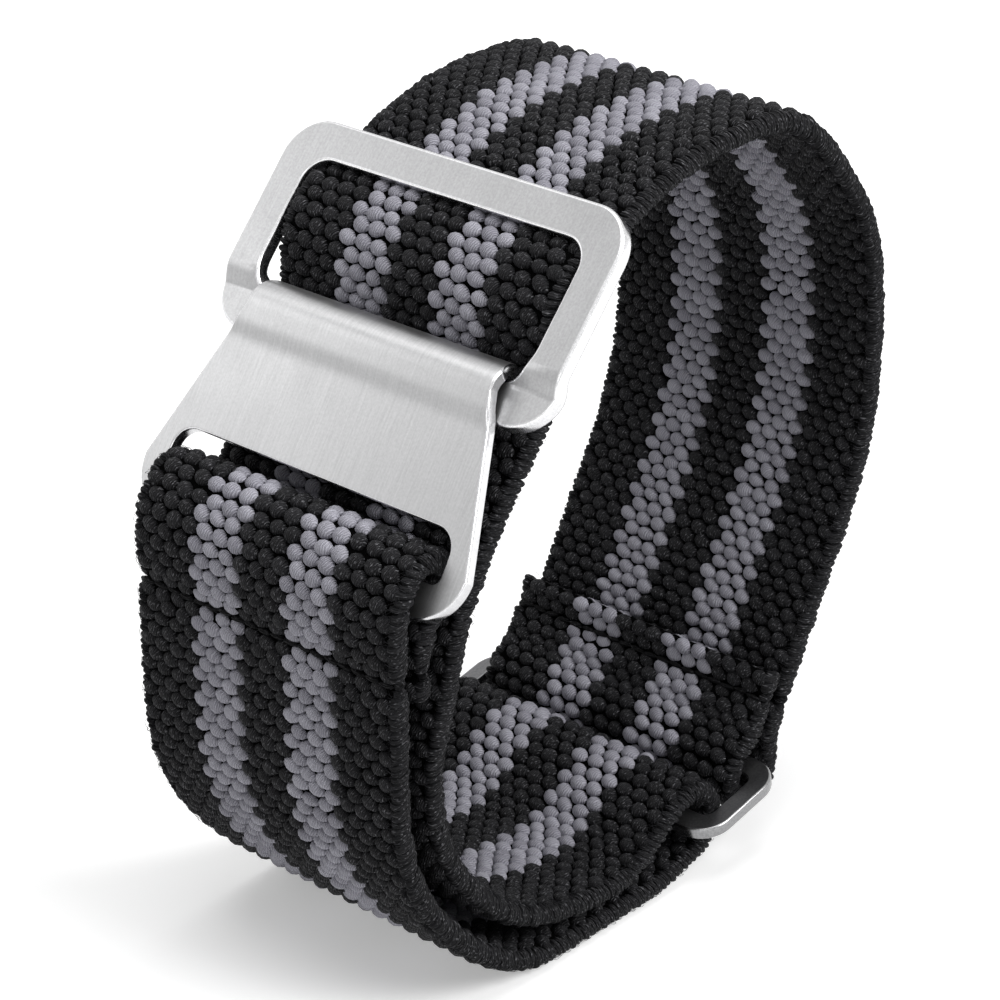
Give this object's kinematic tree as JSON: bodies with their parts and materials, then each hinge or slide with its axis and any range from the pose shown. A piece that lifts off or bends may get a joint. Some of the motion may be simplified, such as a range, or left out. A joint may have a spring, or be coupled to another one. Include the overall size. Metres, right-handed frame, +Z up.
{
  "type": "elastic nylon watch strap",
  "caption": "Closed loop of woven elastic nylon band with a hook plate that catches on a flat metal ring, and a turn-back slider.",
  "frame": {"origin": "under the middle of the closed loop, on the surface that it stands on", "axes": "+X across the loop towards its single strand, +Y across the width of the band, +Z up"},
  "size_m": [0.0425, 0.024, 0.0466],
  "materials": {
    "woven_nylon": "coarse elastic weave, near-black with two bluish-grey stripes",
    "steel_ring": "satin, with rounded bright edges",
    "steel_plate": "brushed along the loop, with a bright rolled edge",
    "sewing_thread": "matt black thread"
  },
  "bodies": {
    "strap": {"band_slider_fold": "woven_nylon", "band_right_strand": "woven_nylon", "band_top_strand": "woven_nylon", "band_ring_weave": "woven_nylon", "band_inner_strand": "woven_nylon", "band_inner_bottom": "woven_nylon", "band_slider_turn": "woven_nylon", "band_outer_bottom": "woven_nylon", "band_outer_strand": "woven_nylon", "slider_seam": "sewing_thread"},
    "ring": {"ring": "steel_ring"},
    "hook_end": {"hook_plate": "steel_plate", "band_hook_fold": "woven_nylon", "hook_seam": "sewing_thread"},
    "slider": {"slider": "steel_ring"}
  },
  "joints": [
    {"name": "ring_tilt", "type": "hinge", "parent": "strap", "child": "ring", "pos_m": [-0.00814, 0, 0.0406], "axis": [0, 1, 0], "range_deg": [0, 3]},
    {"name": "hook_lift", "type": "hinge", "parent": "ring", "child": "hook_end", "pos_m": [-0.0113, 0, 0.0361], "axis": [0, 1, 0], "range_deg": [0, 15]},
    {"name": "slider_tilt", "type": "hinge", "parent": "strap", "child": "slider", "pos_m": [0.00982, 0, 0.00482], "axis": [0, 1, 0], "range_deg": [-3, 3]}
  ]
}
